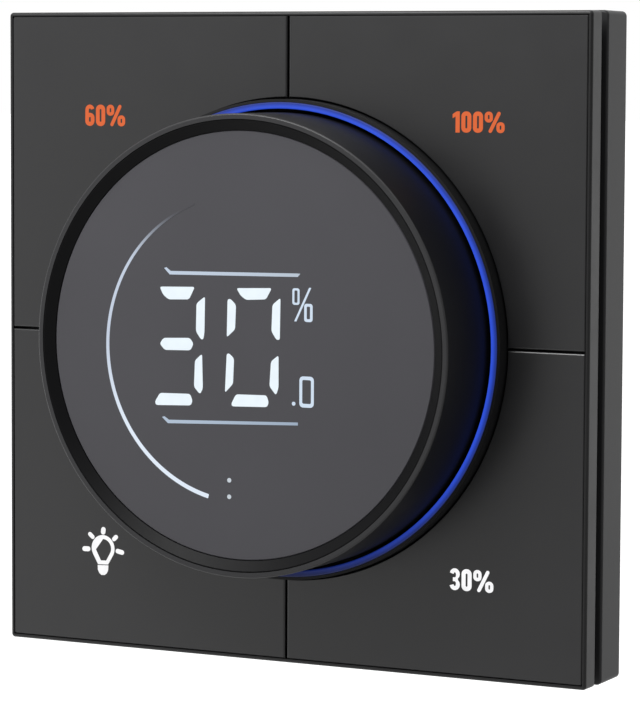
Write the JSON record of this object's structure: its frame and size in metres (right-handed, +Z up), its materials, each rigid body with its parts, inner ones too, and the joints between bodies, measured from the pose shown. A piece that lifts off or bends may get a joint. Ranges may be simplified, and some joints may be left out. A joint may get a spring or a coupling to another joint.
{
  "type": "smart dimmer switch",
  "caption": "Square wall dimmer with push keys round a turning knob that holds a fixed round display, on a frame and strap over a wall-box housing.",
  "frame": {"origin": "middle of the wall plane, between the strap's two screw slots", "axes": "+X right as seen from the front, +Y into the wall, +Z up"},
  "size_m": [0.0862, 0.0529, 0.0862],
  "materials": {
    "key_plastic": "fine satin, dark grey",
    "frame_plastic": "fine satin, dark grey",
    "knob_black": "satin black",
    "black_plastic": "matt black",
    "acetal": "natural, smooth",
    "light_guide": "translucent, lit blue",
    "icon_guide": "translucent white",
    "display_glass": "black printed glass",
    "display_face": "black display module",
    "board": "green solder mask",
    "lamp": "white lamp package",
    "steel": "zinc plated",
    "brass": "plain",
    "aluminium": "plain",
    "housing_plastic": "light grey, matt",
    "terminal_plastic": "dark green, matt",
    "ferrite": "dark grey",
    "winding": "taped and varnished winding",
    "capacitor_sleeve": "shrink sleeve",
    "film_case": "yellow case"
  },
  "bodies": {
    "root": {"back_housing": "housing_plastic", "board_screws": "steel", "bulk_capacitor": "capacitor_sleeve", "choke_core": "ferrite", "choke_winding": "winding", "control_board": "board", "display_board": "board", "display_header": "black_plastic", "display_housing": "black_plastic", "display_lens": "display_glass", "display_module": "display_face", "display_screws": "steel", "encoder_body": "black_plastic", "film_capacitor": "film_case", "fuse": "black_plastic", "heat_plate": "aluminium", "housing_cover": "housing_plastic", "housing_screws": "steel", "icon_lamps": "lamp", "key_switches": "black_plastic", "light_ring": "light_guide", "link_header": "black_plastic", "link_socket": "black_plastic", "mounting_strap": "steel", "power_board": "board", "radio_module": "board", "radio_shield": "steel", "rear_frame": "frame_plastic", "ring_lamps": "lamp", "terminal_block": "terminal_plastic", "terminal_clamps": "brass", "terminal_screws": "steel", "thrust_washer": "acetal", "transformer_bobbin": "black_plastic", "transformer_core": "ferrite", "triac": "black_plastic", "trim_frame": "frame_plastic"},
    "key_upper_right": {"key_upper_right": "key_plastic", "switch_plunger_upper_right": "acetal", "icon_guide_upper_right": "icon_guide"},
    "key_upper_left": {"key_upper_left": "key_plastic", "switch_plunger_upper_left": "acetal", "icon_guide_upper_left": "icon_guide"},
    "key_lower_left": {"key_lower_left": "key_plastic", "switch_plunger_lower_left": "acetal", "icon_guide_lower_left": "icon_guide"},
    "key_lower_right": {"key_lower_right": "key_plastic", "switch_plunger_lower_right": "acetal", "icon_guide_lower_right": "icon_guide"},
    "knob": {"knob_ring": "knob_black", "gear_ring": "acetal"},
    "encoder": {"encoder_shaft": "steel", "encoder_pinion": "acetal"}
  },
  "joints": [
    {"name": "knob_turn", "type": "hinge", "parent": "root", "child": "knob", "pos_m": [0, -0.017, 0], "axis": [0, 1, 0], "continuous": true},
    {"name": "encoder_turn", "type": "hinge", "parent": "root", "child": "encoder", "pos_m": [0, -0.0105, 0.0195], "axis": [0, 1, 0], "continuous": true},
    {"name": "press_upper_right", "type": "slide", "parent": "root", "child": "key_upper_right", "axis": [0, 1, 0], "range_m": [0, 0.0006], "stiffness_N_per_m": 900, "springref_m": -0.0008},
    {"name": "press_upper_left", "type": "slide", "parent": "root", "child": "key_upper_left", "axis": [0, 1, 0], "range_m": [0, 0.0006], "stiffness_N_per_m": 900, "springref_m": -0.0008},
    {"name": "press_lower_left", "type": "slide", "parent": "root", "child": "key_lower_left", "axis": [0, 1, 0], "range_m": [0, 0.0006], "stiffness_N_per_m": 900, "springref_m": -0.0008},
    {"name": "press_lower_right", "type": "slide", "parent": "root", "child": "key_lower_right", "axis": [0, 1, 0], "range_m": [0, 0.0006], "stiffness_N_per_m": 900, "springref_m": -0.0008}
  ],
  "couplings": [
    {"joint": "encoder_turn", "follows": "knob_turn", "ratio": 4}
  ]
}
